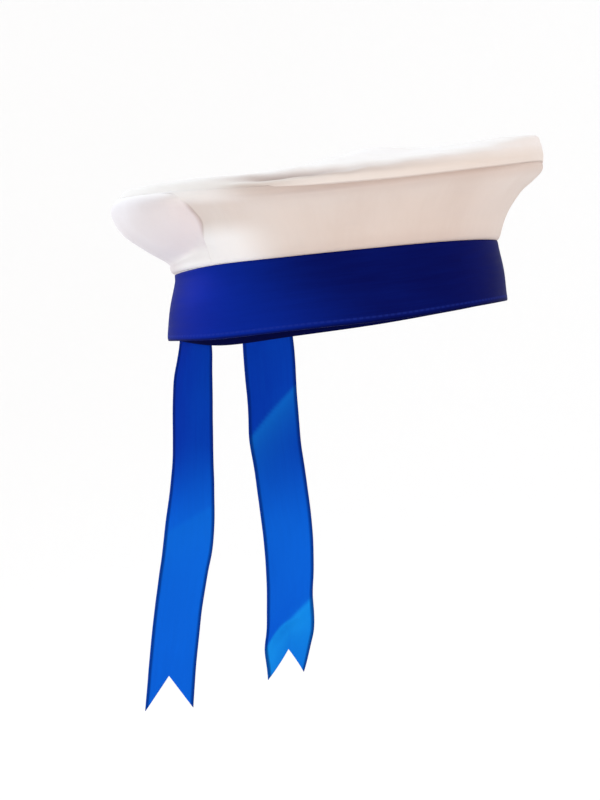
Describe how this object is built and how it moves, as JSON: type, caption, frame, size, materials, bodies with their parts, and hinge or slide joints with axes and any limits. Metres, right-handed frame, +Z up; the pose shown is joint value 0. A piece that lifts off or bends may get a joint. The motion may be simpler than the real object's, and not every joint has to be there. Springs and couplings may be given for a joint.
{
  "type": "sailor cap with ribbon tails",
  "caption": "Round soft sailor cap with a flat pillowed crown flaring out over a satin headband, and ribbon tails with swallowtail ends hanging behind it.",
  "frame": {"origin": "middle of the head opening, in the plane of the headband's lower edge", "axes": "+Z up with the cap as worn, tipped 9.2 degrees back; the front of the cap faces -Y, the wearer's left is +X and the ribbon tails hang at +Y"},
  "size_m": [0.2329, 0.2308, 0.3309],
  "materials": {
    "crown_cloth": "off-white cotton twill, matt",
    "band_satin": "navy to royal blue satin, soft sheen",
    "ribbon_satin": "royal blue satin ribbon, soft sheen"
  },
  "bodies": {
    "root": {"crown_top": "crown_cloth", "crown_front_panel": "crown_cloth", "crown_back_panel": "crown_cloth", "headband": "band_satin", "ribbon_tail_right": "ribbon_satin", "ribbon_tail_left": "ribbon_satin"}
  },
  "joints": []
}
